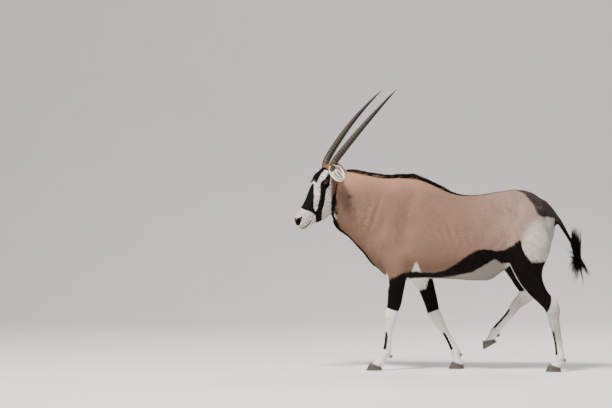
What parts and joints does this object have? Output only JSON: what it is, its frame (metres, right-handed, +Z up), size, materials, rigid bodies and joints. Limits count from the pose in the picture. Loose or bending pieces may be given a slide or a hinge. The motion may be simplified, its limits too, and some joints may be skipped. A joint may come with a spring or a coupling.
{
  "type": "gemsbok figure",
  "caption": "Life-size gemsbok museum figure caught in mid-stride, with long ringed horns, a black and white face, a fawn body and white lower legs.",
  "frame": {"origin": "middle of the figure's box, on the floor it stands on", "axes": "-X is the way it walks, -Y its left side, +Z up"},
  "size_m": [1.7604, 0.4732, 1.7301],
  "materials": {
    "fawn_coat": "short matte fur",
    "white_coat": "short matte fur",
    "dark_coat": "short fur with a slight sheen",
    "horn": "ringed horn, worn satin",
    "hoof": "dry horn",
    "eye": "wet gloss"
  },
  "bodies": {
    "root": {"torso": "fawn_coat", "neck": "fawn_coat", "head": "white_coat", "ear_left": "white_coat", "ear_right": "white_coat", "foreleg_left_upper": "dark_coat", "foreleg_right_upper": "dark_coat", "hindleg_left_upper": "dark_coat", "hindleg_right_upper": "dark_coat", "foreleg_left_lower": "white_coat", "foreleg_right_lower": "white_coat", "hindleg_left_lower": "white_coat", "hindleg_right_lower": "white_coat", "tail": "dark_coat", "tail_tuft": "dark_coat", "horn_left": "horn", "horn_right": "horn", "eye_left": "eye", "eye_right": "eye", "hoof_fore_left_a": "hoof", "hoof_fore_left_b": "hoof", "hoof_fore_right_a": "hoof", "hoof_fore_right_b": "hoof", "hoof_hind_left_a": "hoof", "hoof_hind_left_b": "hoof", "hoof_hind_right_a": "hoof", "hoof_hind_right_b": "hoof"}
  },
  "joints": []
}
